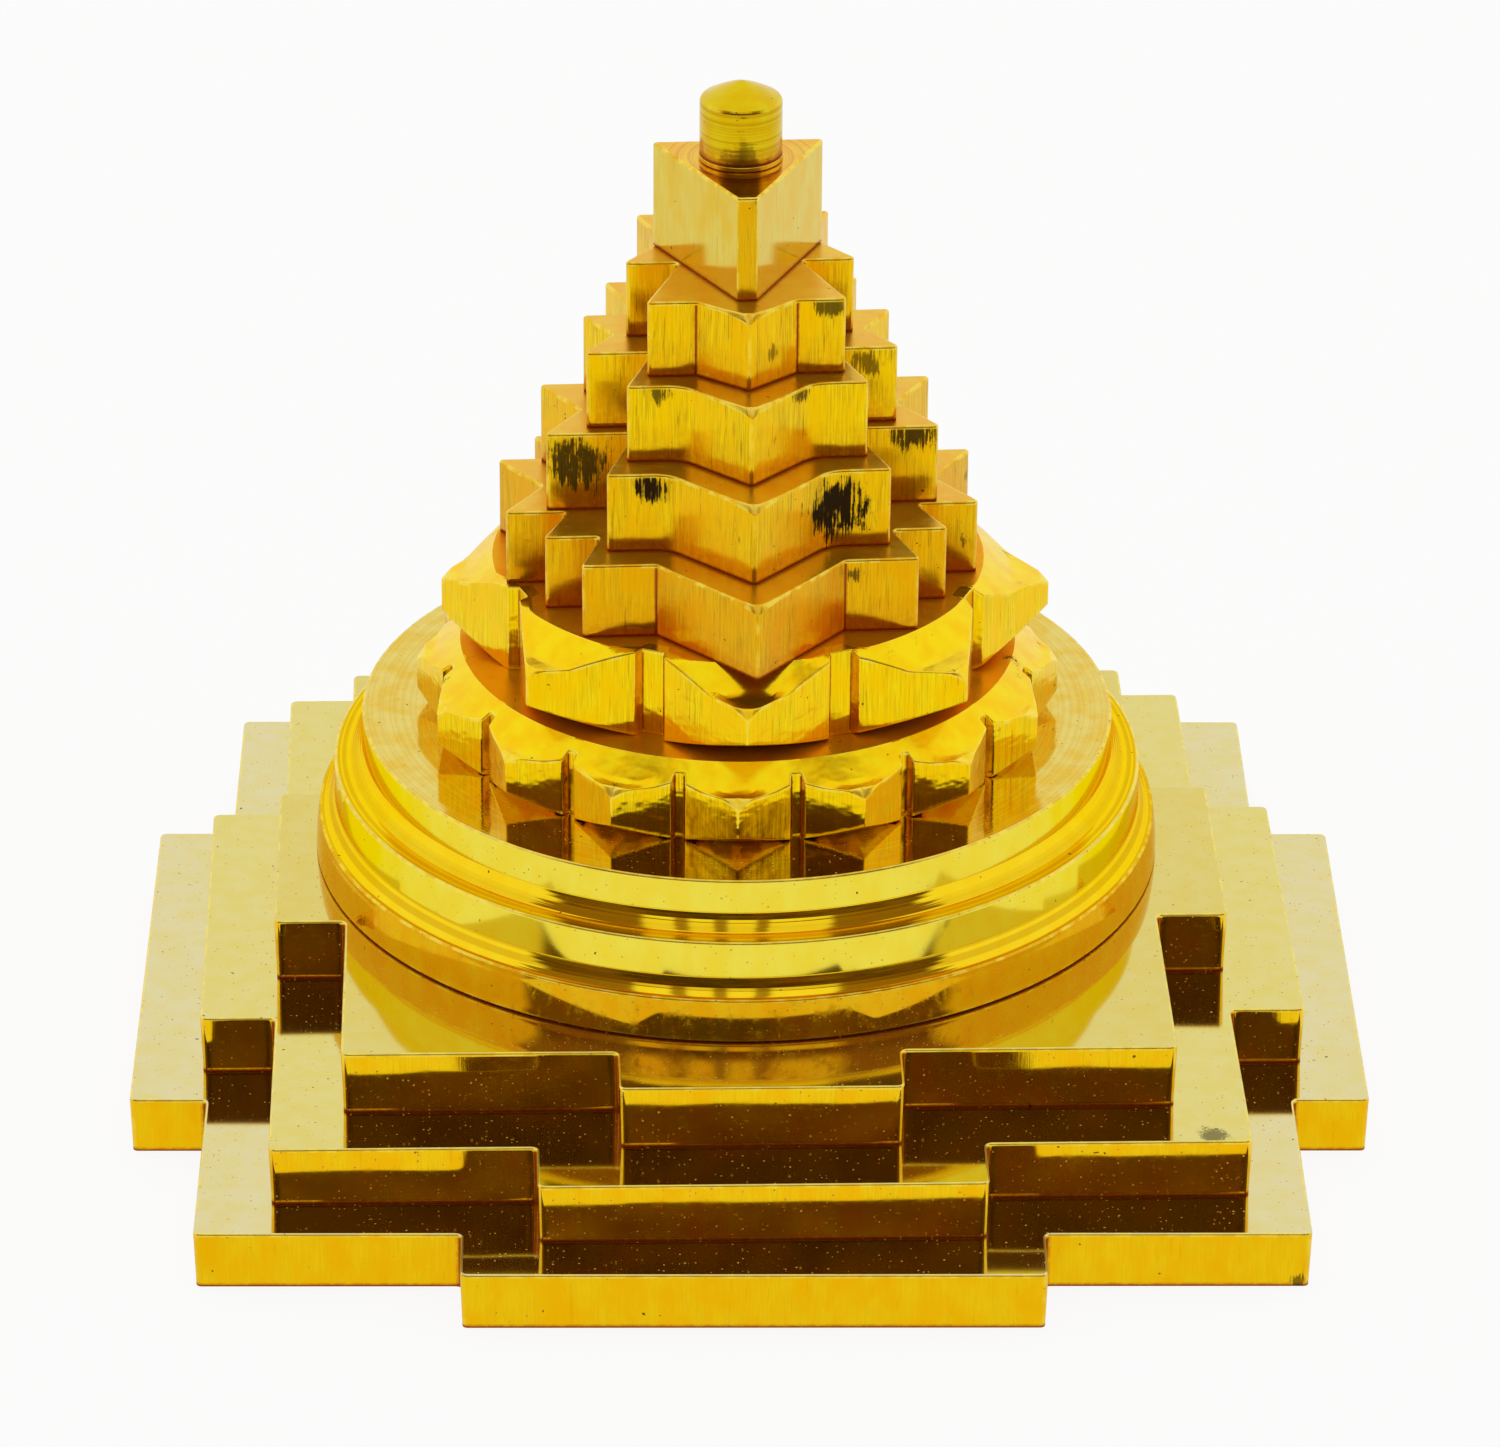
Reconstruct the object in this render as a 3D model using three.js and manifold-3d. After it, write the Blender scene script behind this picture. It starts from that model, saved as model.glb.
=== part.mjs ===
// A brass meru shri yantra: a stepped pyramid of machined brass tiers on one long screw.
// Three square gated plates carry a turned disc, two petalled rings, four stars, a triangle
// and the bindu. Millimetres, +Z up, front towards -Y, origin under the middle of the base.

import * as THREE from 'three';
import { mergeVertices } from 'three/addons/utils/BufferGeometryUtils.js';
import Module from 'manifold-3d';

const wasm = await Module();
wasm.setup();

// Square plates with a gate on each side, from the bottom up. Each is turned a little.
const LOWER_PLATE = { halfSide: 33.3, gateHalf: 17.35, gateReach: 4.7, thickness: 3.7 };
const MIDDLE_PLATE = { halfSide: 29.4, gateHalf: 13.4, gateReach: 4.6, thickness: 3.8 };
const UPPER_PLATE = { halfSide: 25.1, gateHalf: 8.5, gateReach: 4.4, thickness: 4.05 };
const PLATE_CORNER_RADIUS = 0.4;
const PLATE_TURN = THREE.MathUtils.degToRad(1);

// Everything above the plates shares an axis that stands a little behind their middle.
const TOWER_X = -0.7;
const TOWER_Y = 2.2;

// Turned disc: a foot and two scooped steps.
const DISC_RADII = [26.4, 25.2, 23.4];
const DISC_EDGE_HEIGHTS = [2.8, 6.2, 9.45];
// Above each of the two lower edges: a nearly level lip, then a hollow between two slopes.
const DISC_COVES = [
  { lip: 0.5, footSlope: 45, topSlope: 70 },
  { lip: 1.05, footSlope: 39, topSlope: 65 },
];
const LIP_SLOPE = 5;

// Petalled rings. Each has a flat land, a cone that falls from it to a gentler brim, a cone
// below its rim, and slots between petals. The petals of the small ring are cut a little to
// the right of its axis.
const LARGE_LOTUS = {
  petals: 16,
  height: 4.85,
  tipRadius: 20,
  tipBottom: 1.1,
  tipTop: 3.45,
  landRadius: 17.25,
  seatRadius: 18.4,
  petalHalfWidth: 3.2,
  petalFootRadius: 18.3,
  slotDepth: 0.6,
};
const SMALL_LOTUS = {
  petals: 8,
  height: 5.65,
  tipRadius: 18.9,
  tipBottom: 1.95,
  tipTop: 4.05,
  landRadius: 15.2,
  seatRadius: 15.2,
  petalHalfWidth: 5,
  petalFootRadius: 14.6,
  slotDepth: 0.7,
  petalShift: 0.45,
};
const LOTUS_CONE_SLOPE = 0.75;
const LOTUS_BRIM_SLOPE = 0.13;
const LARGE_LOTUS_TURN = THREE.MathUtils.degToRad(-0.5);
const SMALL_LOTUS_TURN = THREE.MathUtils.degToRad(-0.2);

// Stars. Front and back are the two points on the middle line. Each corner is half the width
// of a straight wall and its distance from the axis. Front corners face the front and back
// corners face the back. The shoulder is where the sides of the end points meet the end walls.
const FOURTEEN_STAR = {
  height: 4.8,
  front: -17.7,
  back: 17.7,
  shoulder: 5.7,
  shoulderRadius: 0.5,
  frontCorners: [[10.3, -11.3], [12.4, -7.2], [14.7, -3.6]],
  backCorners: [[14.8, 4.1], [12.4, 7.4], [10.3, 11.3]],
};
const OUTER_TEN_STAR = {
  height: 5.1,
  front: -14.5,
  back: 14.5,
  shoulder: 4.9,
  shoulderRadius: 2.5,
  frontCorners: [[8.7, -9.4], [12.2, -3.4]],
  backCorners: [[12.2, 4.0], [8.7, 9.6]],
};
const INNER_TEN_STAR = {
  height: 5,
  front: -11.5,
  back: 11.8,
  shoulder: 3.95,
  shoulderRadius: 2.5,
  frontCorners: [[7.4, -7.6], [9.7, -2.6]],
  backCorners: [[9.6, 3.1], [7.9, 8.0]],
};
const EIGHT_STAR = {
  height: 4.9,
  front: -8.7,
  back: 9.4,
  shoulder: 3.05,
  shoulderRadius: 0.5,
  frontCorners: [[6.1, -6.25], [7.2, -0.3]],
  backCorners: [[6.0, 7.1]],
};
const STAR_TURN = THREE.MathUtils.degToRad(3.2);
const POINT_RADIUS = 0.3;
const NOTCH_RADIUS = 0.4;

// Triangle on top, with its front point milled off flat.
const TRIANGLE = { height: 6.7, backHalf: 5.3, back: 2.65, front: -6.3, frontHalf: 0.6 };

// Bindu: the cap on the screw.
const BINDU = { radius: 2.55, wall: 4, dome: 1, socketDepth: 3.3 };

// One slotted screw runs up the axis from under the base into the bindu.
const SCREW_RADIUS = 1.25;
const SCREW_HEAD_RADIUS = 2.4;
const SCREW_HEAD_HEIGHT = 1.5;
const SCREW_SLOT_WIDTH = 0.6;
const SCREW_SLOT_DEPTH = 0.7;
const SCREW_END_CLEARANCE = 0.5;
const BORE_RADIUS = 1.55;
const WASHER_RADIUS = 3;
const WASHER_THICKNESS = 0.5;
const COUNTERBORE_RADIUS = 3.4;
const COUNTERBORE_DEPTH = 2.4;

// A pin keeps the stars and the triangle from turning on each other.
const PIN_RADIUS = 0.6;
const PIN_HOLE_RADIUS = 0.9;
const PIN_Y = -3.9;
const PIN_DEPTH_IN_TRIANGLE = 3;

const ROUND_STEPS = 96;
const HOLE_STEPS = 24;
const CORNER_STEPS = 3;

const brass = {
  color: 0xd9b51c,
  metalness: 1,
};

function brassMaterial(roughness) {
  return new THREE.MeshStandardMaterial({ ...brass, roughness });
}

function node(name, geometry, roughness) {
  const mesh = new THREE.Mesh(geometry, brassMaterial(roughness));
  mesh.name = name;
  return mesh;
}

// Booleans between closed geometries.

function toSolid(geometry) {
  const bare = geometry.clone();
  bare.deleteAttribute('normal');
  bare.deleteAttribute('uv');
  const merged = mergeVertices(bare, 1e-4);
  return new wasm.Manifold(new wasm.Mesh({
    numProp: 3,
    vertProperties: new Float32Array(merged.attributes.position.array),
    triVerts: new Uint32Array(merged.index.array),
  }));
}

function toGeometry(solid) {
  const mesh = solid.getMesh();
  const geometry = new THREE.BufferGeometry();
  geometry.setAttribute('position', new THREE.BufferAttribute(mesh.vertProperties, 3));
  geometry.setIndex(new THREE.BufferAttribute(mesh.triVerts, 1));
  return geometry;
}

// Outlines.

function lerpTowards(from, to, distance) {
  const length = Math.hypot(to[0] - from[0], to[1] - from[1]);
  const t = distance / length;
  return [from[0] + (to[0] - from[0]) * t, from[1] + (to[1] - from[1]) * t];
}

function setback(before, corner, after, radius) {
  const inward = Math.atan2(before[1] - corner[1], before[0] - corner[0]);
  const outward = Math.atan2(after[1] - corner[1], after[0] - corner[0]);
  const opening = Math.abs(inward - outward);
  return radius / Math.tan(Math.min(opening, 2 * Math.PI - opening) / 2);
}

// A closed shape through corners [x, y, radius], each rounded off.
function roundedShape(corners) {
  const shape = new THREE.Shape();
  corners.forEach((corner, i) => {
    const before = corners[(i + corners.length - 1) % corners.length];
    const after = corners[(i + 1) % corners.length];
    const distance = setback(before, corner, after, corner[2]);
    const start = lerpTowards(corner, before, distance);
    const end = lerpTowards(corner, after, distance);
    if (i === 0) shape.moveTo(...start);
    else shape.lineTo(...start);
    shape.quadraticCurveTo(corner[0], corner[1], ...end);
  });
  shape.closePath();
  return shape;
}

function mirrored(rightHalf) {
  const leftHalf = rightHalf
    .filter(([x]) => x > 0)
    .map(([x, y, radius]) => [-x, y, radius])
    .reverse();
  return [...rightHalf, ...leftHalf];
}

function roundHole(radius, x = 0, y = 0) {
  const hole = new THREE.Path();
  for (let i = 0; i < HOLE_STEPS; i += 1) {
    const angle = (-i / HOLE_STEPS) * 2 * Math.PI;
    const point = [x + radius * Math.cos(angle), y + radius * Math.sin(angle)];
    if (i === 0) hole.moveTo(...point);
    else hole.lineTo(...point);
  }
  hole.closePath();
  return hole;
}

function extrude(shape, height) {
  return new THREE.ExtrudeGeometry(shape, {
    depth: height,
    bevelEnabled: false,
    curveSegments: CORNER_STEPS,
  });
}

// A solid of revolution about +Z from a profile of [radius, z].
function turned(profile, steps = ROUND_STEPS) {
  const points = profile.map(([radius, z]) => new THREE.Vector2(radius, z));
  const geometry = new THREE.LatheGeometry(points, steps);
  geometry.rotateX(Math.PI / 2);
  return geometry;
}

// Plates.

function gatedPlate({ halfSide, gateHalf, gateReach, thickness }, boreX, boreY) {
  const corners = [];
  for (let side = 0; side < 4; side += 1) {
    const angle = (side * Math.PI) / 2;
    const cos = Math.round(Math.cos(angle));
    const sin = Math.round(Math.sin(angle));
    const outline = [
      [-halfSide, -halfSide],
      [-gateHalf, -halfSide],
      [-gateHalf, -halfSide - gateReach],
      [gateHalf, -halfSide - gateReach],
      [gateHalf, -halfSide],
    ];
    for (const [x, y] of outline) {
      corners.push([x * cos - y * sin, x * sin + y * cos, PLATE_CORNER_RADIUS]);
    }
  }
  const shape = roundedShape(corners);
  shape.holes.push(roundHole(BORE_RADIUS, boreX, boreY));
  return extrude(shape, thickness);
}

function lowerPlate() {
  const plate = toSolid(gatedPlate(LOWER_PLATE, TOWER_X, TOWER_Y));
  const pocket = turned([
    [0, -1],
    [COUNTERBORE_RADIUS, -1],
    [COUNTERBORE_RADIUS, COUNTERBORE_DEPTH],
    [0, COUNTERBORE_DEPTH],
  ], HOLE_STEPS);
  pocket.translate(TOWER_X, TOWER_Y, 0);
  return toGeometry(plate.subtract(toSolid(pocket)));
}

// The bore of a plate that is turned about the middle of the base still lies on the axis.
function turnedPlate(size) {
  const boreX = TOWER_X * Math.cos(PLATE_TURN) + TOWER_Y * Math.sin(PLATE_TURN);
  const boreY = TOWER_Y * Math.cos(PLATE_TURN) - TOWER_X * Math.sin(PLATE_TURN);
  return gatedPlate(size, boreX, boreY);
}

// Disc. Each step falls straight from its edge and then sweeps out to the lip below.

function steppedDisc() {
  const sweepSteps = 4;
  const radians = THREE.MathUtils.degToRad;
  const [footRadius, middleRadius, topRadius] = DISC_RADII;
  const [footTop, middleTop, top] = DISC_EDGE_HEIGHTS;
  const profile = [[BORE_RADIUS, 0], [footRadius, 0], [footRadius, footTop]];
  const scoops = [
    [footRadius, middleRadius, footTop, middleTop],
    [middleRadius, topRadius, middleTop, top],
  ];
  scoops.forEach(([outer, inner, low, high], k) => {
    const lipWidth = DISC_COVES[k].lip;
    const from = radians(DISC_COVES[k].footSlope);
    const to = radians(DISC_COVES[k].topSlope);
    const lipEnd = low + lipWidth * Math.tan(radians(LIP_SLOPE));
    const sweep = (outer - lipWidth - inner) / (Math.sin(to) - Math.sin(from));
    for (let i = 0; i <= sweepSteps; i += 1) {
      const angle = from + ((to - from) * i) / sweepSteps;
      profile.push([
        outer - lipWidth - sweep * (Math.sin(angle) - Math.sin(from)),
        lipEnd + sweep * (Math.cos(from) - Math.cos(angle)),
      ]);
    }
    profile.push([inner, high]);
  });
  profile.push([BORE_RADIUS, top], [BORE_RADIUS, 0]);
  return turned(profile);
}

// Petalled rings: a turned blank cut to a ring of pointed petals with a slot between them.

function lotusBlank(size) {
  const { height, tipRadius, tipBottom, tipTop, landRadius, seatRadius } = size;
  const beyond = 1;
  const underSlope = tipBottom / (tipRadius - seatRadius);
  const brimAtLand = tipTop + (tipRadius - landRadius) * LOTUS_BRIM_SLOPE;
  const coneWidth = (height - brimAtLand) / (LOTUS_CONE_SLOPE - LOTUS_BRIM_SLOPE);
  return turned([
    [BORE_RADIUS, 0],
    [seatRadius, 0],
    [tipRadius + beyond, tipBottom + beyond * underSlope],
    [tipRadius + beyond, tipTop - beyond * LOTUS_BRIM_SLOPE],
    [landRadius + coneWidth, height - coneWidth * LOTUS_CONE_SLOPE],
    [landRadius, height],
    [BORE_RADIUS, height],
    [BORE_RADIUS, 0],
  ]);
}

function petalOutline(size) {
  const { petals, tipRadius, petalHalfWidth, petalFootRadius, slotDepth } = size;
  const shape = new THREE.Shape();
  for (let i = 0; i < petals; i += 1) {
    const angle = (i / petals) * 2 * Math.PI - Math.PI / 2;
    const along = new THREE.Vector2(Math.cos(angle), Math.sin(angle));
    const across = new THREE.Vector2(-along.y, along.x);
    const corners = [
      [petalFootRadius - slotDepth, -petalHalfWidth],
      [petalFootRadius, -petalHalfWidth],
      [tipRadius, 0],
      [petalFootRadius, petalHalfWidth],
      [petalFootRadius - slotDepth, petalHalfWidth],
    ];
    corners.forEach(([out, aside], j) => {
      const x = along.x * out + across.x * aside;
      const y = along.y * out + across.y * aside;
      if (i === 0 && j === 0) shape.moveTo(x, y);
      else shape.lineTo(x, y);
    });
  }
  shape.closePath();
  return shape;
}

function lotus(size) {
  const cutter = extrude(petalOutline(size), size.height + 2);
  cutter.translate(size.petalShift ?? 0, 0, -1);
  return toGeometry(toSolid(lotusBlank(size)).intersect(toSolid(cutter)));
}

// Stars. A notch lies where the slanting wall behind one corner meets the next straight wall,
// and the two widest corners meet at the crossing of the slanting walls behind them.

function widthOnLine([x, y], apex, level) {
  return (x * (level - apex)) / (y - apex);
}

function starOutline({ front, back, shoulder, shoulderRadius, frontCorners, backCorners }) {
  const half = [[0, front, POINT_RADIUS], [shoulder, frontCorners[0][1], shoulderRadius]];
  const backApex = -front;
  const frontApex = -back;
  frontCorners.forEach((corner, i) => {
    half.push([...corner, POINT_RADIUS]);
    const next = frontCorners[i + 1];
    if (next) half.push([widthOnLine(corner, backApex, next[1]), next[1], NOTCH_RADIUS]);
  });
  const wideFront = frontCorners[frontCorners.length - 1];
  const wideBack = backCorners[0];
  const frontSlope = wideFront[0] / (wideFront[1] - backApex);
  const backSlope = wideBack[0] / (wideBack[1] - frontApex);
  const crossing = (frontSlope * backApex - backSlope * frontApex) / (frontSlope - backSlope);
  half.push([widthOnLine(wideFront, backApex, crossing), crossing, NOTCH_RADIUS]);
  backCorners.forEach((corner, i) => {
    const previous = backCorners[i - 1];
    if (previous) {
      half.push([widthOnLine(corner, frontApex, previous[1]), previous[1], NOTCH_RADIUS]);
    }
    half.push([...corner, POINT_RADIUS]);
  });
  half.push([shoulder, backCorners[backCorners.length - 1][1], NOTCH_RADIUS]);
  half.push([0, back, POINT_RADIUS]);
  return roundedShape(mirrored(half));
}

function star(size) {
  const shape = starOutline(size);
  shape.holes.push(roundHole(BORE_RADIUS));
  shape.holes.push(roundHole(PIN_HOLE_RADIUS, 0, PIN_Y));
  return extrude(shape, size.height);
}

function triangle() {
  const { height, backHalf, back, front, frontHalf } = TRIANGLE;
  const shape = roundedShape(mirrored([
    [frontHalf, front, 0.15],
    [backHalf, back, POINT_RADIUS],
  ]));
  shape.holes.push(roundHole(BORE_RADIUS));
  const pinHole = turned([
    [0, -1],
    [PIN_HOLE_RADIUS, -1],
    [PIN_HOLE_RADIUS, PIN_DEPTH_IN_TRIANGLE + 0.3],
    [0, PIN_DEPTH_IN_TRIANGLE + 0.3],
  ], HOLE_STEPS);
  pinHole.translate(0, PIN_Y, 0);
  return toGeometry(toSolid(extrude(shape, height)).subtract(toSolid(pinHole)));
}

// Bindu: a short cylinder with a low dome and a blind hole for the end of the screw.

function bindu() {
  const { radius, wall, dome, socketDepth } = BINDU;
  const domeSteps = 6;
  const sphereRadius = (radius * radius + dome * dome) / (2 * dome);
  const domeAngle = Math.asin(radius / sphereRadius);
  const profile = [[0, socketDepth], [BORE_RADIUS, socketDepth], [BORE_RADIUS, 0], [radius, 0]];
  for (let i = 0; i <= domeSteps; i += 1) {
    const angle = domeAngle * (1 - i / domeSteps);
    const out = i === domeSteps ? 0 : sphereRadius * Math.sin(angle);
    profile.push([out, wall + dome - sphereRadius * (1 - Math.cos(angle))]);
  }
  return turned(profile, ROUND_STEPS / 2);
}

// Fasteners.

function screw(shankTop) {
  const body = turned([
    [0, 0],
    [SCREW_HEAD_RADIUS, 0],
    [SCREW_HEAD_RADIUS, SCREW_HEAD_HEIGHT],
    [SCREW_RADIUS, SCREW_HEAD_HEIGHT],
    [SCREW_RADIUS, shankTop],
    [0, shankTop],
  ], HOLE_STEPS);
  const slot = new THREE.BoxGeometry(
    2 * SCREW_HEAD_RADIUS + 1,
    SCREW_SLOT_WIDTH,
    2 * SCREW_SLOT_DEPTH,
  );
  return toGeometry(toSolid(body).subtract(toSolid(slot)));
}

function washer() {
  const shape = new THREE.Shape();
  shape.absarc(0, 0, WASHER_RADIUS, 0, 2 * Math.PI);
  shape.holes.push(roundHole(BORE_RADIUS));
  return new THREE.ExtrudeGeometry(shape, {
    depth: WASHER_THICKNESS,
    bevelEnabled: false,
    curveSegments: HOLE_STEPS,
  });
}

function pin(length) {
  const geometry = new THREE.CylinderGeometry(PIN_RADIUS, PIN_RADIUS, length, HOLE_STEPS);
  geometry.rotateX(Math.PI / 2);
  geometry.translate(0, 0, length / 2);
  return geometry;
}

// The stack, from the bottom up.

const object = new THREE.Group();
const tower = new THREE.Group();
tower.position.set(TOWER_X, TOWER_Y, 0);
object.add(tower);

const polished = 0.16;
const milled = 0.24;
let level = 0;

function stack(parent, mesh, height, turn = 0) {
  mesh.position.z = level;
  mesh.rotation.z = turn;
  parent.add(mesh);
  level += height;
}

stack(object, node('lower_plate', lowerPlate(), polished), LOWER_PLATE.thickness);
const middlePlate = node('middle_plate', turnedPlate(MIDDLE_PLATE), polished);
stack(object, middlePlate, MIDDLE_PLATE.thickness, PLATE_TURN);
const upperPlate = node('upper_plate', turnedPlate(UPPER_PLATE), polished);
stack(object, upperPlate, UPPER_PLATE.thickness, PLATE_TURN);

stack(tower, node('stepped_disc', steppedDisc(), polished), DISC_EDGE_HEIGHTS[2]);
const largeLotus = node('sixteen_petal_lotus', lotus(LARGE_LOTUS), milled);
stack(tower, largeLotus, LARGE_LOTUS.height, LARGE_LOTUS_TURN);
const smallLotus = node('eight_petal_lotus', lotus(SMALL_LOTUS), milled);
stack(tower, smallLotus, SMALL_LOTUS.height, SMALL_LOTUS_TURN);

const starFoot = level;
const stars = {
  fourteen_point_star: FOURTEEN_STAR,
  outer_ten_point_star: OUTER_TEN_STAR,
  inner_ten_point_star: INNER_TEN_STAR,
  eight_point_star: EIGHT_STAR,
};
for (const [name, size] of Object.entries(stars)) {
  stack(tower, node(name, star(size), milled), size.height, STAR_TURN);
}
const pinLength = level - starFoot + PIN_DEPTH_IN_TRIANGLE;
stack(tower, node('triangle', triangle(), milled), TRIANGLE.height, STAR_TURN);
const binduFoot = level;
stack(tower, node('bindu', bindu(), milled), BINDU.wall + BINDU.dome);

// The screw head sits on its washer at the bottom of the counterbore.
const washerMesh = node('screw_washer', washer(), milled);
washerMesh.position.z = COUNTERBORE_DEPTH - WASHER_THICKNESS;
tower.add(washerMesh);
const headFoot = COUNTERBORE_DEPTH - WASHER_THICKNESS - SCREW_HEAD_HEIGHT;
const shankTop = binduFoot + BINDU.socketDepth - SCREW_END_CLEARANCE - headFoot;
const screwMesh = node('long_screw', screw(shankTop), milled);
screwMesh.position.z = headFoot;
tower.add(screwMesh);

const pinMesh = node('star_locating_pin', pin(pinLength), milled);
pinMesh.rotation.z = STAR_TURN;
pinMesh.position.set(-PIN_Y * Math.sin(STAR_TURN), PIN_Y * Math.cos(STAR_TURN), starFoot);
tower.add(pinMesh);

export default object;
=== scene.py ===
import math
from collections import namedtuple

import bmesh
import bpy
from mathutils import Matrix, Vector


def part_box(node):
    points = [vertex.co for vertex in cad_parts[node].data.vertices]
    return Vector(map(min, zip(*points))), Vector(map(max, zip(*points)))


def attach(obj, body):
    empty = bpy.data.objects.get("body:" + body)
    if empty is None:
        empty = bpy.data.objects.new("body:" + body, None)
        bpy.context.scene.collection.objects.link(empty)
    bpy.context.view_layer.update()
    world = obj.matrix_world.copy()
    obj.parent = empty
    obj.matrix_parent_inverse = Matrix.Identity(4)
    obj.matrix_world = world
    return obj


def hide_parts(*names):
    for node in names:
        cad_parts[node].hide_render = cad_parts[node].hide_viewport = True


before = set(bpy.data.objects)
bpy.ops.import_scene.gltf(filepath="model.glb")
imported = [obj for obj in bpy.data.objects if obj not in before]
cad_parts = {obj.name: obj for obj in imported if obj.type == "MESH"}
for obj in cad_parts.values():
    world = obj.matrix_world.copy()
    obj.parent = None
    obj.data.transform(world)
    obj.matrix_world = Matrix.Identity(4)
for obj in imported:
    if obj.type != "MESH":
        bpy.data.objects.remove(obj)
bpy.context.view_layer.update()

# Brass meru shri yantra: its visible pieces, their materials, a pale studio and the camera.
# Sizes are in millimetres and become metres where a mesh or an object is made.

MM = 0.001

# Square plates with a gate on each side.
PLATES = {
    "lower_plate": {"half_side": 33.3, "gate_half": 17.35, "gate_reach": 4.7, "turn": 0.0},
    "middle_plate": {"half_side": 29.4, "gate_half": 13.4, "gate_reach": 4.6, "turn": 1.0},
    "upper_plate": {"half_side": 25.1, "gate_half": 8.5, "gate_reach": 4.4, "turn": 1.0},
}
PLATE_CORNER_RADIUS = 0.4

# The axis of everything above the plates, and the bore along it.
TOWER_X = -0.7
TOWER_Y = 2.2
BORE_RADIUS = 1.55
COUNTERBORE_RADIUS = 3.4
COUNTERBORE_DEPTH = 2.4

# The steps of the disc, from the foot up. The wall of the foot leans in by FOOT_WALL_CROWN.
DISC_RADII = [26.4, 25.2, 23.4]
DISC_EDGE_HEIGHTS = [2.8, 6.2, 9.45]
DISC_RIM = 0.14
DISC_FOOT_BEVEL = 0.16
FOOT_WALL_CROWN = 0.22
FOOT_WALL_STEPS = 8
DISC_SIDES = 256

# Above each of the two lower edges of the disc: a nearly level lip, then a hollow between two
# slopes with turning grooves in it, and a small corner to the wall above.
COVES = [
    {"lip": 0.35, "foot_slope": 45, "top_slope": 70},
    {"lip": 1.05, "foot_slope": 39, "top_slope": 65},
]
LIP_SLOPE = 5
COVE_CORNER = 0.3
COVE_CORNER_STEPS = 4
COVE_STEPS = 24
GROOVE_EVERY = 5
GROOVE_DEPTH = 0.008

LOTUSES = {
    "sixteen_petal_lotus": {
        "petals": 16, "height": 4.85, "tip_radius": 20.0, "tip_bottom": 1.1, "tip_top": 3.45,
        "land_radius": 17.25, "seat_radius": 18.4, "petal_half_width": 3.2,
        "foot_radius": 18.3, "slot_depth": 0.6, "turn": -0.5, "shift": 0.0,
    },
    "eight_petal_lotus": {
        "petals": 8, "height": 5.65, "tip_radius": 18.9, "tip_bottom": 1.95, "tip_top": 4.05,
        "land_radius": 15.2, "seat_radius": 15.2, "petal_half_width": 5.0,
        "foot_radius": 14.6, "slot_depth": 0.7, "turn": -0.2, "shift": 0.45,
    },
}

# From its level land the top of a petalled ring falls as a cone to a gentler brim, with a
# fold at the land, worn and given a painted highlight line, and a soft crease at the brim.
LOTUS_CONE_SLOPE = 0.75
LOTUS_BRIM_SLOPE = 0.13
FOLD_WIDTH = 0.08
FOLD_WEAR_AND_HIGHLIGHT = 0.6
CREASE_WIDTH = 0.3

# How far inside the outline of a petalled ring the rings of its mesh stay.
SEAT_MARGIN = 0.3
TOP_MARGIN = 0.1
NEXT_MARGIN = 0.06

STARS = {
    "fourteen_point_star": {
        "front": -17.7, "back": 17.7, "shoulder": 5.7, "shoulder_radius": 0.5,
        "front_corners": [(10.3, -11.3), (12.4, -7.2), (14.7, -3.6)],
        "back_corners": [(14.8, 4.1), (12.4, 7.4), (10.3, 11.3)],
    },
    "outer_ten_point_star": {
        "front": -14.5, "back": 14.5, "shoulder": 4.9, "shoulder_radius": 2.5,
        "front_corners": [(8.7, -9.4), (12.2, -3.4)],
        "back_corners": [(12.2, 4.0), (8.7, 9.6)],
    },
    "inner_ten_point_star": {
        "front": -11.5, "back": 11.8, "shoulder": 3.95, "shoulder_radius": 2.5,
        "front_corners": [(7.4, -7.6), (9.7, -2.6)],
        "back_corners": [(9.6, 3.1), (7.9, 8.0)],
    },
    "eight_point_star": {
        "front": -8.7, "back": 9.4, "shoulder": 3.05, "shoulder_radius": 0.5,
        "front_corners": [(6.1, -6.25), (7.2, -0.3)],
        "back_corners": [(6.0, 7.1)],
    },
}
STAR_TURN = 3.2

TRIANGLE = {"back_half": 5.3, "back": 2.65, "front": -6.3, "front_half": 0.6}

# The bindu has a low bead at its foot, a narrower wall, a rounded rim and a dome.
BINDU_RADIUS = 2.55
BINDU_BORE_DEPTH = 3.3
BINDU_FOOT_BEVEL = 0.08
BINDU_BEAD = 0.30
BINDU_NECK = 0.05
BINDU_SHOULDER = 3.65
BINDU_RIM = 0.35
BINDU_RIM_SWEEP = 68
BINDU_RIM_STEPS = 6
# The rim's share of the wear colour: partly a painted highlight along the shoulder.
BINDU_RIM_WEAR_AND_HIGHLIGHT = 0.3
BINDU_SIDES = 96
DOME_BULGE = 0.25
DOME_END = 0.02
DOME_STEPS = 8

# Heights on the wall of the bindu, and how much dirt there is at each.
BINDU_DIRT = [(0.34, 1), (0.6, 0.5), (1.4, 0)]

# The roundness of points and corners, seen from above.
POINT_RADIUS = 0.25
NOTCH_RADIUS = 0.3
PETAL_CORNER_RADIUS = 0.15
MILLED_CORNER_RADIUS = 0.2
WIDE_RADIUS = 1.0
CORNER_STEPS = 4
WIDE_CORNER_STEPS = 10

# Worn edges; the wear colour on them is partly a painted highlight.
PLATE_BEVEL = 0.12
PLATE_UNDERCUT = 0.1
STAR_BEVEL = 0.14
LOTUS_BEVEL = 0.06
FOOT_BEVEL = 0.05
FOOT_STEPS = 2
BEVEL_STEPS = 3
RIM_INSET = 0.05
CORNER_WEAR_AND_HIGHLIGHT = 0.7

# A front tip is cut off at its top by TIP_CUT, which fades out at TIP_REACH from the tip.
TIP_CUT = 0.5
TIP_REACH = 0.9
CUT_SLOPE = 0.9

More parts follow.
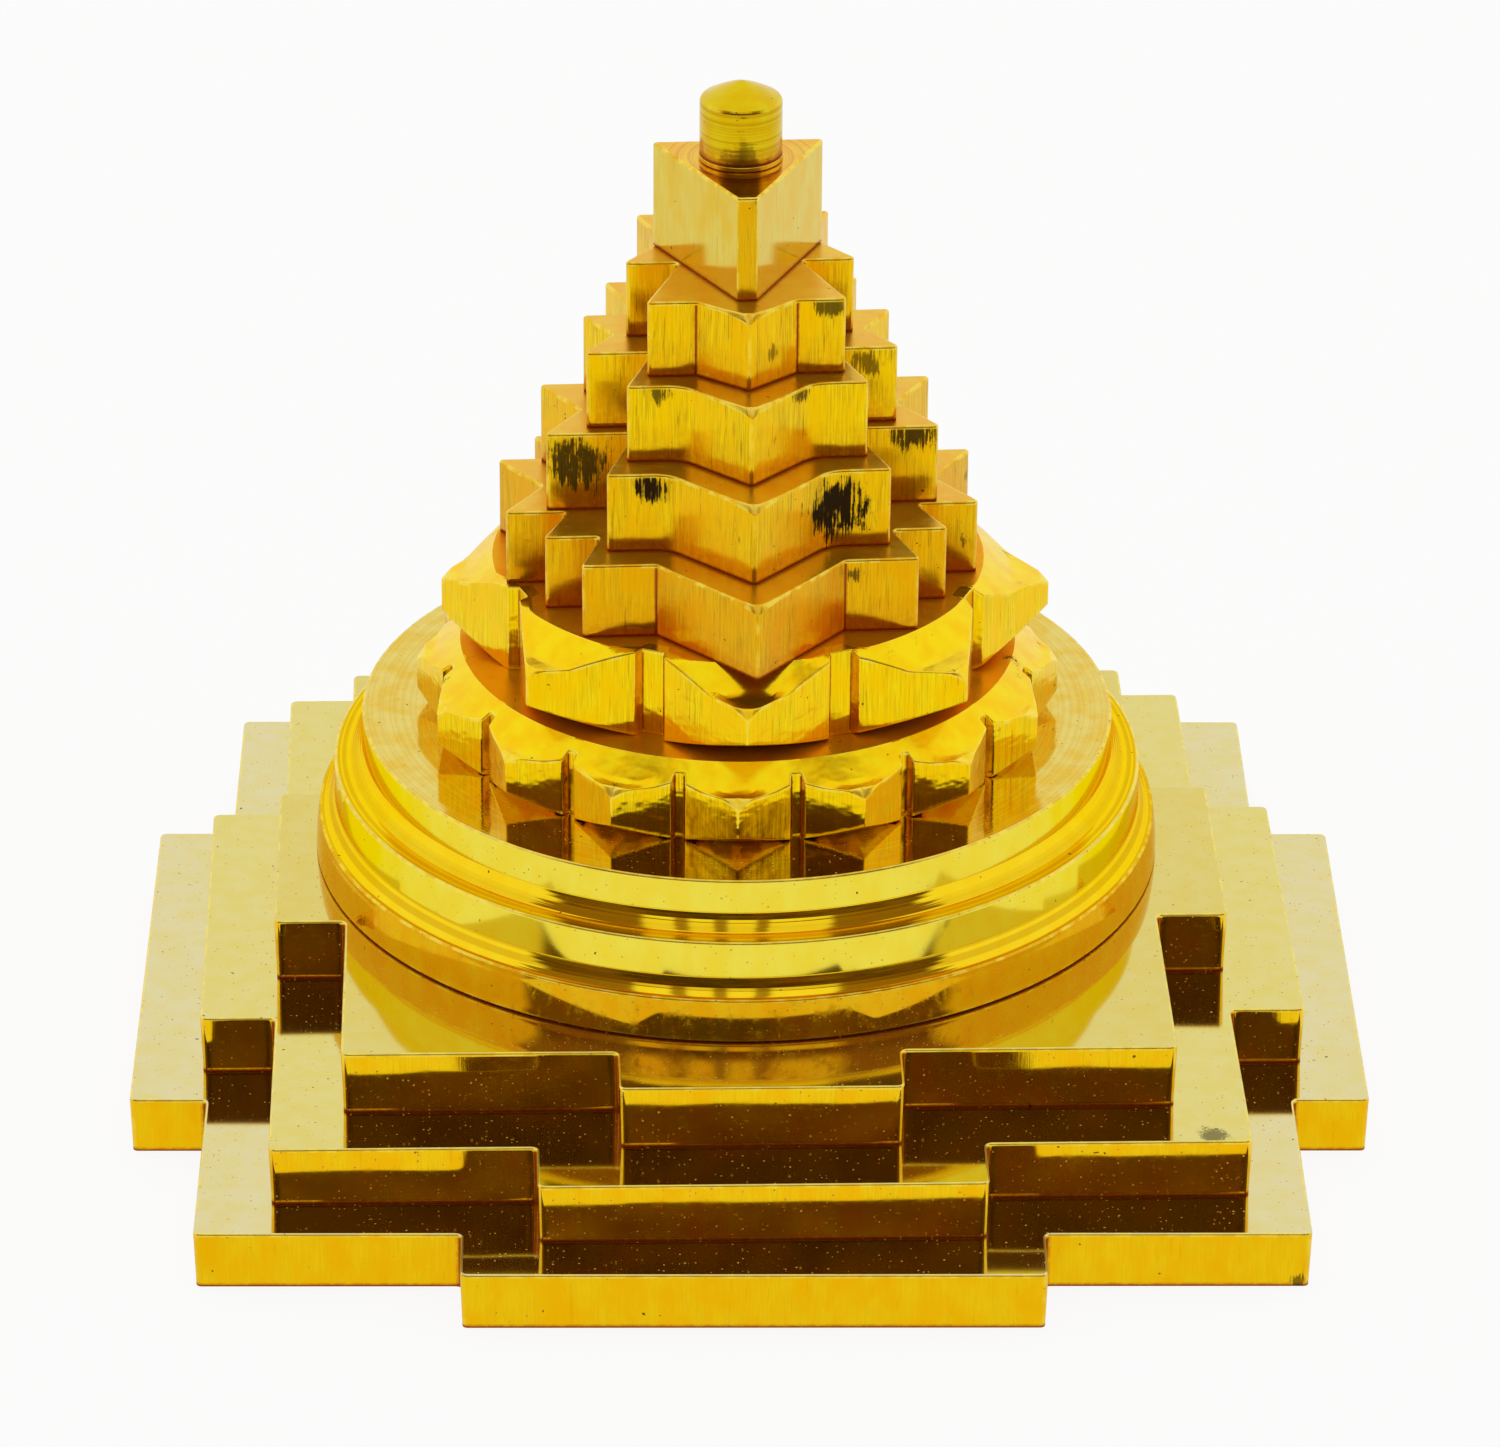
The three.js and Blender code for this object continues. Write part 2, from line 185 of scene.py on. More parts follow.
# Dirt on a wall above its foot: up to GRIMY_HEIGHT, and a faint rest of it at DUSTY_HEIGHT.
GRIMY_HEIGHT = 0.30
DUSTY_HEIGHT = 1.1
DUSTY_SHARE = 1 / 8
STAR_GRIME = 0.3

# The lengths that walls are cut into, and how close to their corners and their tops.
WALL_STEP = 1.6
PLATE_WALL_STEP = 3.2
PETAL_WALL_STEP = 0.5
CORNER_MARGIN = 0.35
WALL_TOP_MARGIN = 0.25
MITER_LIMIT = 0.3

# An edge is sharp from this angle in degrees. A face is level, or looks in a given direction,
# where its normal points that far along it. It belongs to a band from this mean of its corners.
SHARP_ANGLE = 33
BAND_SHARE = 0.4
FLAT_FACE_WEIGHT = 80
LEVEL_NORMAL = 0.6
FACING_NORMAL = 0.9

# A place on an outline, its wear with a painted highlight, its dirt, and how far and which way the
# top is cut back.
Point = namedtuple("Point", "place wear grime cut")


# Outlines, in millimetres.

def rounded_outline(corners):
    """Points along a closed outline through corners (x, y, radius), each rounded off."""
    points = []
    for i, (x, y, radius) in enumerate(corners):
        corner = Vector((x, y))
        before = (Vector(corners[i - 1][:2]) - corner).normalized()
        after = (Vector(corners[(i + 1) % len(corners)][:2]) - corner).normalized()
        half_angle = before.angle(after) / 2
        bisector = (before + after).normalized()
        centre = corner + bisector * radius / math.sin(half_angle)
        start = corner + before * radius / math.tan(half_angle) - centre
        convex = before.cross(after) < 0
        sweep = (math.pi - 2 * half_angle) * (1 if convex else -1)
        wide = radius >= WIDE_RADIUS
        steps = WIDE_CORNER_STEPS if wide else CORNER_STEPS
        for k in range(steps + 1):
            place = centre + Matrix.Rotation(sweep * k / steps, 2) @ start
            middle = 1 - abs(2 * k / steps - 1)
            # Convex corners take the wear colour, partly as a painted highlight down the point.
            wear = middle if convex else 0.0
            grime = 0.0 if convex or wide else middle
            points.append(Point(place, wear, grime, Vector((0, 0))))
    return points


def subdivided(points, step):
    """The same outline with its long straight walls cut into shorter lengths."""
    dense = []
    for i, point in enumerate(points):
        dense.append(point)
        after = points[(i + 1) % len(points)]
        length = (after.place - point.place).length
        if length < 3 * CORNER_MARGIN:
            continue
        count = max(1, round((length - 2 * CORNER_MARGIN) / step))
        for k in range(count + 1):
            t = (CORNER_MARGIN + (length - 2 * CORNER_MARGIN) * k / count) / length
            dense.append(Point(point.place.lerp(after.place, t), 0.0, 0.0, Vector((0, 0))))
    return dense


def outline_normals(points):
    """Outward miter vectors: a point plus d times its vector lies d outside both its walls."""
    miters = []
    for i, point in enumerate(points):
        before = (point.place - points[i - 1].place).normalized()
        after = (points[(i + 1) % len(points)].place - point.place).normalized()
        normal_before = Vector((before.y, -before.x))
        normal_after = Vector((after.y, -after.x))
        total = normal_before + normal_after
        miters.append(total / max(MITER_LIMIT, 1 + normal_before.dot(normal_after)))
    return miters


def cut_tips(points, tips):
    """Points near a tip also carry how far, and which way, the top is cut back there."""
    done = []
    for p in points:
        cut = Vector((0, 0))
        for tip in tips:
            share = 1 - (p.place - tip).length / TIP_REACH
            if share > 0:
                cut = -tip.normalized() * TIP_CUT * share
        done.append(p._replace(cut=cut))
    return done


def plate_outline(half_side, gate_half, gate_reach):
    corners = []
    for side in range(4):
        cos = round(math.cos(side * math.pi / 2))
        sin = round(math.sin(side * math.pi / 2))
        outline = [
            (-half_side, -half_side),
            (-gate_half, -half_side),
            (-gate_half, -half_side - gate_reach),
            (gate_half, -half_side - gate_reach),
            (gate_half, -half_side),
        ]
        corners += [(x * cos - y * sin, x * sin + y * cos, PLATE_CORNER_RADIUS)
                    for x, y in outline]
    return rounded_outline(corners)


def width_on_line(corner, apex, level):
    return corner[0] * (level - apex) / (corner[1] - apex)


def mirrored(right_half):
    return right_half + [(-x, y, r) for x, y, r in reversed(right_half) if x > 0]


def star_outline(front, back, shoulder, shoulder_radius, front_corners, back_corners):
    """Notches lie where the slanting wall behind a corner meets the next straight wall."""
    half = [(0, front, POINT_RADIUS), (shoulder, front_corners[0][1], shoulder_radius)]
    for i, corner in enumerate(front_corners):
        half.append((*corner, POINT_RADIUS))
        if i + 1 < len(front_corners):
            level = front_corners[i + 1][1]
            half.append((width_on_line(corner, -front, level), level, NOTCH_RADIUS))
    wide_front = front_corners[-1]
    wide_back = back_corners[0]
    front_slope = wide_front[0] / (wide_front[1] + front)
    back_slope = wide_back[0] / (wide_back[1] + back)
    crossing = (-front_slope * front + back_slope * back) / (front_slope - back_slope)
    half.append((width_on_line(wide_front, -front, crossing), crossing, NOTCH_RADIUS))
    for i, corner in enumerate(back_corners):
        if i > 0:
            level = back_corners[i - 1][1]
            half.append((width_on_line(corner, -back, level), level, NOTCH_RADIUS))
        half.append((*corner, POINT_RADIUS))
    half.append((shoulder, back_corners[-1][1], NOTCH_RADIUS))
    half.append((0, back, POINT_RADIUS))
    return rounded_outline(mirrored(half))


def triangle_outline(back_half, back, front, front_half):
    return rounded_outline(mirrored([
        (front_half, front, MILLED_CORNER_RADIUS),
        (back_half, back, POINT_RADIUS),
    ]))


def petal_outline(size):
    foot_radius, half_width = size["foot_radius"], size["petal_half_width"]
    slot_radius = foot_radius - size["slot_depth"]
    corners = []
    for i in range(size["petals"]):
        angle = i / size["petals"] * 2 * math.pi - math.pi / 2
        along = Vector((math.cos(angle), math.sin(angle)))
        across = Vector((-along.y, along.x))
        for out, aside, radius in [
            (slot_radius, -half_width, PETAL_CORNER_RADIUS),
            (foot_radius, -half_width, PETAL_CORNER_RADIUS),
            (size["tip_radius"], 0, POINT_RADIUS),
            (foot_radius, half_width, PETAL_CORNER_RADIUS),
            (slot_radius, half_width, PETAL_CORNER_RADIUS),
        ]:
            point = along * out + across * aside
            corners.append((point.x + size["shift"], point.y, radius))
    return rounded_outline(corners)


# Meshes.

def piece(name, rings, origin, turn, closed=False):
    """A closed body through rings of points (x, y, z, wear and painted highlight, grime, band), as
    many in each.

    The first and the last ring are joined too, because each is a rim of the same bore.
    closed says that each of them is filled with a face instead.
    """
    mesh = bmesh.new()
    layers = [mesh.verts.layers.float.new(layer) for layer in ("wear", "grime", "band")]
    rotation = Matrix.Rotation(math.radians(turn), 4, "Z")
    made = []
    for ring in rings:
        row = []
        for x, y, z, *values in ring:
            place = origin + rotation @ Vector((x, y, z))
            vertex = mesh.verts.new(place * MM)
            for layer, value in zip(layers, values):
                vertex[layer] = value
            row.append(vertex)
        made.append(row)
    count = len(made[0])
    pairs = list(zip(made, made[1:]))
    if not closed:
        pairs.append((made[-1], made[0]))
    for low, high in pairs:
        for i in range(count):
            j = (i + 1) % count
            mesh.faces.new((low[i], low[j], high[j], high[i]))
    if closed:
        mesh.faces.new(list(reversed(made[0])))
        mesh.faces.new(made[-1])
    bmesh.ops.recalc_face_normals(mesh, faces=mesh.faces)
    data = bpy.data.meshes.new(name)
    mesh.to_mesh(data)
    mesh.free()
    data.shade_smooth()
    data.set_sharp_from_angle(angle=math.radians(SHARP_ANGLE))
    made_object = bpy.data.objects.new(name, data)
    bpy.context.scene.collection.objects.link(made_object)
    weighted = made_object.modifiers.new("Flat faces stay flat", "WEIGHTED_NORMAL")
    weighted.keep_sharp = True
    weighted.weight = FLAT_FACE_WEIGHT
    return made_object


def bore_ring(points, radius, z):
    return [(*(p.place.normalized() * radius), z, 0.0, 0.0) for p in points]


def moved_in(points, distance):
    miters = outline_normals(points)
    return [p._replace(place=p.place - m * distance) for p, m in zip(points, miters)]


def foot_rings(points, level, grime):
    """Rings of the rounded foot of a wall, from under it up to it, at the heights of level."""
    rings = []
    for k in range(FOOT_STEPS + 1):
        angle = k / FOOT_STEPS * math.pi / 2
        rise = FOOT_BEVEL * (1 - math.cos(angle))
        rings.append([
            (p.place.x, p.place.y, level(p.place) + rise, 0.0, grime)
            for p in moved_in(points, FOOT_BEVEL * (1 - math.sin(angle)))
        ])
    return rings


def rim_rings(points, bevel, level):
    """Rings over the worn upper edge of a wall, and one just inside it on the level top. The edge
    takes the full wear colour, partly a painted highlight.

    Where a tip is cut, the rings rise evenly to the height of the top behind the cut.
    """
    rings = []
    for k in range(BEVEL_STEPS + 1):
        share = k / BEVEL_STEPS
        angle = share * math.pi / 2
        ring = []
        for p in moved_in(points, bevel * (1 - math.cos(angle))):
            place = p.place + p.cut * share
            drop = bevel * (1 - math.sin(angle)) + CUT_SLOPE * p.cut.length * (1 - share)
            ring.append((place.x, place.y, level(p.place + p.cut) - drop, 1.0, 0.0))
        rings.append(ring)
    ring = []
    for p in moved_in(points, bevel + RIM_INSET):
        place = p.place + p.cut
        ring.append((place.x, place.y, level(place), 0.0, 0.0))
    return rings + [ring]


def wall_rings(points, low, high, undercut=0.0, grimy=0.0):
    """Rings of a wall between its two rims, with dirt just above the foot and in the notches.

    low and high are the heights of the rims. A ring lies at a share of the way between them.
    """
    heights = [(0.0, GRIMY_HEIGHT, grimy), (0.5, 0.0, 0.0), (1.0, -WALL_TOP_MARGIN, 0.0)]
    if grimy:
        heights.insert(1, (0.0, DUSTY_HEIGHT, grimy * DUSTY_SHARE))
    rings = []
    for share, extra, grime in heights:
        ring = []
        for p in moved_in(points, undercut * (1 - share)):
            rise = extra - p.cut.length * share
            z = low(p.place) + (high(p.place) - low(p.place)) * share + rise
            ring.append((p.place.x, p.place.y, z, CORNER_WEAR_AND_HIGHLIGHT * p.wear, max(grime, p.grime)))
        rings.append(ring)
    return rings


def prism_rings(points, height, bevel, undercut=0.0, grimy=0.0):
    """An upright wall with rounded rims, from the bore at the foot to the bore on top."""
    def foot(place):
        return 0.0

    def top(place):
        return height

    return [
        bore_ring(points, BORE_RADIUS, 0),
        *foot_rings(moved_in(points, undercut), foot, grime=1.0),
        *wall_rings(points, foot, top, undercut, grimy),
        *rim_rings(points, bevel, top),
        bore_ring(points, BORE_RADIUS, height),
    ]


def lathe_rings(profile, sides):
    rings = []
    for radius, z, *values in profile:
        rings.append([
            (radius * math.cos(i / sides * 2 * math.pi),
             radius * math.sin(i / sides * 2 * math.pi), z, *values)
            for i in range(sides)
        ])
    return rings


def finish_piece(made, node_name, wall, face, bands=()):
    """Walls and level faces take their own finishes, and faces with a band number take its."""
    for material in (wall, face, *bands):
        made.data.materials.append(material)
    band = made.data.attributes["band"].data
    for polygon in made.data.polygons:
        mean = sum(band[i].value for i in polygon.vertices) / len(polygon.vertices)
        if mean > BAND_SHARE:
            polygon.material_index = 1 + max(1, round(mean))
        elif abs(polygon.normal.z) > LEVEL_NORMAL:
            polygon.material_index = 1
    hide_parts(node_name)
    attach(made, "root")
    return made


def dress_faces(made, direction, index):
    """Flat faces that look in a direction take the piece's material of that number."""
    for polygon in made.data.polygons:
        if polygon.normal.dot(direction) > FACING_NORMAL:
            polygon.material_index = index


def levels_of(node_name):
    low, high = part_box(node_name)
    return low.z / MM, high.z / MM


# Materials.

class Nodes:
    """A short way to write a node tree: n(kind, inputs) adds a node and links or sets its sockets."""

    def __init__(self, tree):
        self.tree = tree

    def __call__(self, kind, inputs=None, **settings):
        node = self.tree.nodes.new("ShaderNode" + kind)
        for key, value in settings.items():
            setattr(node, key, value)
        for key, value in (inputs or {}).items():
            socket = node.inputs[key]
            if isinstance(value, bpy.types.NodeSocket):
                self.tree.links.new(value, socket)
            else:
                socket.default_value = value
        return node

    def math(self, operation, a, b=0.0):
        return self("Math", {0: a, 1: b}, operation=operation).outputs[0]

    def ramp(self, value, low, high, to_low=0.0, to_high=1.0):
        node = self("MapRange", {"Value": value, "From Min": low, "From Max": high,
                                 "To Min": to_low, "To Max": to_high},
                    interpolation_type="SMOOTHSTEP")
        return node.outputs["Result"]

    def mix_colour(self, factor, a, b, blend="MIX"):
        node = self("Mix", {"Factor": factor}, data_type="RGBA", blend_type=blend)
        for key, value in (("A", a), ("B", b)):
            socket = next(s for s in node.inputs if s.name == key and s.type == "RGBA")
            if isinstance(value, bpy.types.NodeSocket):
                self.tree.links.new(value, socket)
            else:
                socket.default_value = value
        return next(s for s in node.outputs if s.type == "RGBA")

    def noise(self, vector, scale, detail=2.0, roughness=0.5):
        node = self("TexNoise", {"Vector": vector, "Scale": scale, "Detail": detail,
                                 "Roughness": roughness})
        return node.outputs["Fac"]

    def stretched(self, vector, grain):
        node = self("VectorMath", {0: vector, 1: grain}, operation="MULTIPLY")
        return node.outputs["Vector"]

    def millimetres(self):
        """The place on the piece in millimetres, so that patterns have real sizes."""
        place = self("TexCoord").outputs["Object"]
        node = self("VectorMath", {0: place, "Scale": 1 / MM}, operation="SCALE")
        return node.outputs["Vector"]


def new_material(name):
    """A material, the way to add nodes to it, its shader and its output."""
    material = bpy.data.materials.new(name)
    material.use_nodes = True
    tree = material.node_tree
    tree.nodes.clear()
    n = Nodes(tree)
    shader = n("BsdfPrincipled")
    output = n("OutputMaterial", {"Surface": shader.outputs[0]})
    return material, n, shader, output


# Colours of the metal, of its wear and of its dirt. Each kind of face gets its own paler, yellower or
# more amber brass: painted highlight and painted shade.
# Plate tops are paler and creamier than their walls: a painted highlight for the bright backdrop they
# mirror.
PLATE_TOP_HIGHLIT_BRASS = {
    "lower_plate": (0.735, 0.655, 0.29, 1),
    "middle_plate": (0.735, 0.64, 0.18, 1),
    "upper_plate": (0.72, 0.60, 0.14, 1),
}
PLATE_TOP_FILM = {"lower_plate": 0.0, "middle_plate": 0.0, "upper_plate": 0.015}
STRAW_BRASS = (0.86, 0.72, 0.055, 1)
# The turned bands of the disc are a brighter yellow: painted highlight.
TURNED_BAND_LIT_BRASS = (0.94, 0.67, 0.012, 1)
TRIANGLE_BRASS = (0.76, 0.60, 0.05, 1)
# Star tops are more amber than their walls: a painted reflection of the brass walls they mirror.
STAR_TOP_SHADED_BRASS = (0.86, 0.53, 0.010, 1)
DISC_TOP_BRASS = (0.78, 0.62, 0.08, 1)
BRIGHT_BRASS = (0.95, 0.70, 0.003, 1)
YELLOW_BRASS = (0.90, 0.58, 0.003, 1)
# The disc's foot is a darker amber: painted shade.
DISC_FOOT_SHADED_BRASS = (0.80, 0.46, 0.004, 1)
BINDU_BRASS = (0.72, 0.55, 0.005, 1)
# The front face of the triangle's point is more amber: painted shade.
POINT_SHADED_BRASS = (0.78, 0.50, 0.006, 1)
# The level land of a petalled ring, under the ring above, is redder: painted shade.
LAND_SHADED_BRASS = (0.90, 0.43, 0.004, 1)
# Walls of the lower stars are darker and more amber: painted shade.
STAR_WALL_SHADED_BRASS = {
    "fourteen_point_star": (0.82, 0.48, 0.003, 1),
    "outer_ten_point_star": (0.88, 0.58, 0.003, 1),
    "inner_ten_point_star": (0.92, 0.66, 0.003, 1),
    "eight_point_star": (0.92, 0.62, 0.003, 1),
}
YELLOW_GLANCE = (0.95, 0.78, 0.22, 1)
PALE_GLANCE = (1, 1, 1, 1)
BRUSH_BROWN = (0.50, 0.22, 0.003, 1)
OLD_BRASS = (0.30, 0.13, 0.004, 1)
TARNISH = (0.030, 0.016, 0.005, 1)
SEAM_DIRT = (0.30, 0.05, 0.005, 1)
RUSTY_DIRT = (0.55, 0.19, 0.006, 1)
# The wear colour: partly real wear and partly a painted highlight on edges.
WEAR_AND_HIGHLIGHT_COLOUR = (0.95, 0.76, 0.10, 1)
DUST = (0.85, 0.52, 0.12, 1)
DULL_STEEL = (0.42, 0.42, 0.41, 1)
BRIGHT_STEEL = (0.62, 0.62, 0.60, 1)

# How fine the patterns are along x, y and z, in waves per millimetre.
BROAD_GRAIN = (0.7, 0.7, 0.4)
STREAK_GRAIN = (9.0, 9.0, 0.35)
LATHE_GRAIN = (0.6, 0.6, 9.0)
SCRATCH_GRAIN = (4.5, 4.5, 0.22)
DENT_GRAIN = (0.55, 0.55, 0.8)
BLOTCH_GRAIN = (0.35, 0.35, 0.22)
CLOUD_GRAIN = (1.3, 1.3, 0.6)
SCUFF_GRAIN = (0.9, 3.5, 1.0)
STEEL_GRAIN = (1.0, 1.0, 9.0)

# How high the marks of tools stand, in millimetres.
STREAK_HEIGHT = 0.012
LATHE_MARK_HEIGHT = 0.02
STEEL_MARK_HEIGHT = 0.02

# How rough worn edges, seams, tarnish and dust are, the last two on top of the metal's own.
WORN_ROUGHNESS = 0.28
SEAM_ROUGHNESS = 0.5
TARNISH_ROUGHNESS = 0.3
DUST_ROUGHNESS = 0.6

# Cells per millimetre with a grain of dust in each, and the radius of the largest grain.
DUST_CELLS = 3.2
DUST_RADIUS = 0.23

# Places of blackish tarnish: x, y, z, how far it reaches and how dark it is.
TARNISHED = {
    "outer_ten_point_star": [(5.0, -6.9, 39.0, 4.1, 1.0), (-6.1, -7.6, 40.6, 2.1, 1.0),
                             (-10.4, -1.6, 39.4, 3.8, 0.9), (9.9, -0.6, 41.0, 2.7, 0.9)],
    "fourteen_point_star": [(6.3, -9.1, 35.4, 1.3, 0.8), (13.4, -1.4, 33.4, 1.6, 0.7)],
    "inner_ten_point_star": [(3.2, -6.4, 46.2, 1.8, 0.8), (-5.6, -5.9, 46.0, 1.5, 0.8),
                             (7.0, 0.2, 45.4, 2.0, 0.7)],
    "eight_point_star": [(4.6, -3.6, 50.9, 1.7, 0.8), (1.5, -5.4, 48.4, 1.1, 0.6)],
    "eight_petal_lotus": [(-17.8, -3.8, 27.5, 2.6, 0.7)],
    "bindu": [(-0.7, -0.5, 58.2, 3.2, 0.4)],
}
PLATE_TARNISHED = [(27.6, -28.2, 7.5, 1.8, 0.7), (32.5, -33.3, 0.3, 1.2, 0.7)]


def brass(name, colour, rough, anisotropy=0.0, brushing=0.0, rings=0.0, patches=0.0, dust=0.0,
          waves=0.03, ripples=0.0, scuffs=0.0, mottle=1.0, film=0.0, glancing=PALE_GLANCE,
          clean=False, spots=()):
    """Worn brass. brushing is for streaks down a wall and rings for the marks of a lathe.

    patches is how much blackish tarnish there is, and spots are the places of more. dust is how
    pale its grains are. waves and ripples are how uneven the face is, in long and in short
    hollows. scuffs is how much rougher the rubbed places are, and mottle how much the colour
    varies. film is the share of the metal under a thin dull film of dirt, and glancing is the
    colour of the metal at an angle. clean leaves out the worn edges, with their painted
    highlight, and the dirt of the seams.
    """
    material, n, shader, _ = new_material(name)
    mm = n.millimetres()
    parts = n("SeparateXYZ", {0: mm})
    wear = 0.0 if clean else n("Attribute", attribute_name="wear").outputs["Fac"]
    grime = 0.0 if clean else n("Attribute", attribute_name="grime").outputs["Fac"]
    broad = n.noise(n.stretched(mm, BROAD_GRAIN), 1.0, 2.0, 0.5)
    specks = n.noise(mm, 2.6, 1.0, 0.5)
    streaks = n.noise(n.stretched(mm, LATHE_GRAIN if rings else STREAK_GRAIN), 1.0, 4.0, 0.65)
    wear_and_highlight_mask = n.math("MULTIPLY", wear, n.ramp(n.noise(mm, 1.1, 3.0), 0.42, 0.60, 0.1, 1.0))

    green = n.ramp(broad, 0.3, 0.7, 1.0 - 0.16 * mottle, 1.0)
    blue = n.ramp(broad, 0.3, 0.7, 1.0 - 0.6 * mottle, 1.0 + 0.6 * mottle)
    tint = n("CombineColor", {0: 1.0, 1: green, 2: blue}).outputs[0]
    paint = n.mix_colour(1.0, colour, tint, "MULTIPLY")
    height = n.math("MULTIPLY", n.noise(mm, 0.16, 1.0, 0.4), waves)
    if ripples:
        dents = n.noise(n.stretched(mm, DENT_GRAIN), 1.0, 2.0, 0.5)
        height = n.math("ADD", height, n.math("MULTIPLY", dents, ripples))
    if brushing:
        brushed = n.math("MULTIPLY", n.ramp(broad, 0.35, 0.62, 0.25, 1.0), brushing)
        depth = n.math("MULTIPLY", n.ramp(streaks, 0.62, 0.36), brushed)
        paint = n.mix_colour(n.math("MULTIPLY", depth, 0.55), paint, BRUSH_BROWN)
        scratches = n.noise(n.stretched(mm, SCRATCH_GRAIN), 1.0, 3.0, 0.7)
        scratches = n.ramp(scratches, 0.60, 0.70, 0.0, 0.6 * brushing)
        paint = n.mix_colour(scratches, paint, OLD_BRASS)
        ridges = n.math("MULTIPLY", n.math("MULTIPLY", streaks, brushed), STREAK_HEIGHT)
        height = n.math("ADD", height, ridges)
    if rings:
        flat = n("CombineXYZ", {0: n.math("SUBTRACT", parts.outputs["X"], TOWER_X),
                                1: n.math("SUBTRACT", parts.outputs["Y"], TOWER_Y)})
        radius = n("VectorMath", {0: flat.outputs[0]}, operation="LENGTH").outputs["Value"]
        marks = n("TexNoise", {"W": n.math("ADD", radius, parts.outputs["Z"]), "Scale": 4.0,
                               "Detail": 3.0}, noise_dimensions="1D").outputs["Fac"]
        height = n.math("ADD", height, n.math("MULTIPLY", marks, LATHE_MARK_HEIGHT * rings))
        paint = n.mix_colour(n.ramp(marks, 0.56, 0.40, 0.0, rings), paint, BRUSH_BROWN)
    # Worn edges are paler: partly real wear, partly a painted highlight.
    paint = n.mix_colour(n.math("MULTIPLY", wear_and_highlight_mask, 0.7), paint, WEAR_AND_HIGHLIGHT_COLOUR)
    soiling = n.math("MULTIPLY", n.math("SQRT", grime), n.ramp(specks, 0.35, 0.6, 0.45, 1.0))
    paint = n.mix_colour(soiling, paint, RUSTY_DIRT)
    seam = n.math("MULTIPLY", n.ramp(grime, 0.35, 0.9), n.ramp(streaks, 0.2, 0.6, 0.75, 1.0))
    paint = n.mix_colour(seam, paint, SEAM_DIRT)
    dirt = n.ramp(specks, 0.78, 0.81, 0.0, 0.8)
    if patches:
        blotches = n.noise(n.stretched(mm, BLOTCH_GRAIN), 1.0, 3.0, 0.6)
        patch = n.math("ADD", n.math("MULTIPLY", blotches, 0.7),
                       n.math("MULTIPLY", streaks, 0.35))
        threshold = 0.73 - 0.12 * patches
        dirt = n.math("MAXIMUM", dirt, n.ramp(patch, threshold, threshold + 0.05, 0.0, 0.9))
    if spots:
        cloud = n.noise(n.stretched(mm, CLOUD_GRAIN), 1.0, 4.0, 0.7)
        ragged = n.math("ADD", n.math("MULTIPLY", n.math("SUBTRACT", cloud, 0.5), 1.5),
                        n.math("MULTIPLY", n.math("SUBTRACT", streaks, 0.5), 1.7))
    for x, y, z, reach, strength in spots:
        away = n("VectorMath", {0: mm, 1: (x, y, z)}, operation="DISTANCE").outputs["Value"]
        near = n.math("ADD", ragged, n.ramp(away, reach, 0.0))
        dirt = n.math("MAXIMUM", dirt, n.ramp(near, 0.50, 0.74, 0.0, strength))
    dirt = n.math("MULTIPLY", dirt, n.math("SUBTRACT", 1.0, n.math("MULTIPLY", wear, 0.8)))
    paint = n.mix_colour(dirt, paint, TARNISH)
    if scuffs:
        rubbed = n.noise(n.stretched(mm, SCUFF_GRAIN), 1.0, 4.0, 0.7)
        rough = n.ramp(rubbed, 0.45, 0.75, rough, rough + scuffs)
    rough = n.math("ADD", n.math("MULTIPLY", dirt, TARNISH_ROUGHNESS), rough)
    rough = n.math("MAXIMUM", rough, n.math("MULTIPLY", wear, WORN_ROUGHNESS))
    rough = n.math("MAXIMUM", rough, n.math("MULTIPLY", seam, SEAM_ROUGHNESS))
    if dust:
        cells = n("TexVoronoi", {"Vector": mm, "Scale": DUST_CELLS, "Randomness": 1.0})
        share = n("SeparateColor", {0: cells.outputs["Color"]}).outputs[0]
        reach = n.math("MULTIPLY", n.math("POWER", share, 3.0), DUST_RADIUS)
        grain = n.math("LESS_THAN", cells.outputs["Distance"], reach)
        grain = n.math("MULTIPLY", grain, dust)
        paint = n.mix_colour(grain, paint, DUST)
        rough = n.math("ADD", rough, n.math("MULTIPLY", grain, DUST_ROUGHNESS))
    n.tree.links.new(paint, shader.inputs["Base Color"])
    n.tree.links.new(rough, shader.inputs["Roughness"])
    shader.inputs["Metallic"].default_value = 1.0 - film
    shader.inputs["Specular Tint"].default_value = glancing
    if anisotropy:
        shader.inputs["Anisotropic"].default_value = anisotropy
        shader.inputs["Anisotropic Rotation"].default_value = 0.25 if rings else 0.0
        tangent = n("Tangent", direction_type="RADIAL", axis="Z")
        n.tree.links.new(tangent.outputs[0], shader.inputs["Tangent"])
    bump = n("Bump", {"Height": height, "Distance": MM, "Strength": 1.0})
    n.tree.links.new(bump.outputs["Normal"], shader.inputs["Normal"])
    return material


def steel(name):
    material, n, shader, _ = new_material(name)
    mm = n.millimetres()
    turning = n.noise(n.stretched(mm, STEEL_GRAIN), 1.0, 2.0)
    dull = n.noise(mm, 0.8, 2.0)
    colour = n.mix_colour(n.ramp(dull, 0.35, 0.7), DULL_STEEL, BRIGHT_STEEL)
    n.tree.links.new(colour, shader.inputs["Base Color"])
    n.tree.links.new(n.ramp(turning, 0.3, 0.7, 0.25, 0.42), shader.inputs["Roughness"])
    shader.inputs["Metallic"].default_value = 1.0
    bump = n("Bump", {"Height": turning, "Distance": STEEL_MARK_HEIGHT * MM, "Strength": 1.0})
    n.tree.links.new(bump.outputs["Normal"], shader.inputs["Normal"])
    return material


# Plates. The lowest is brushed on its outer walls and the others are polished.

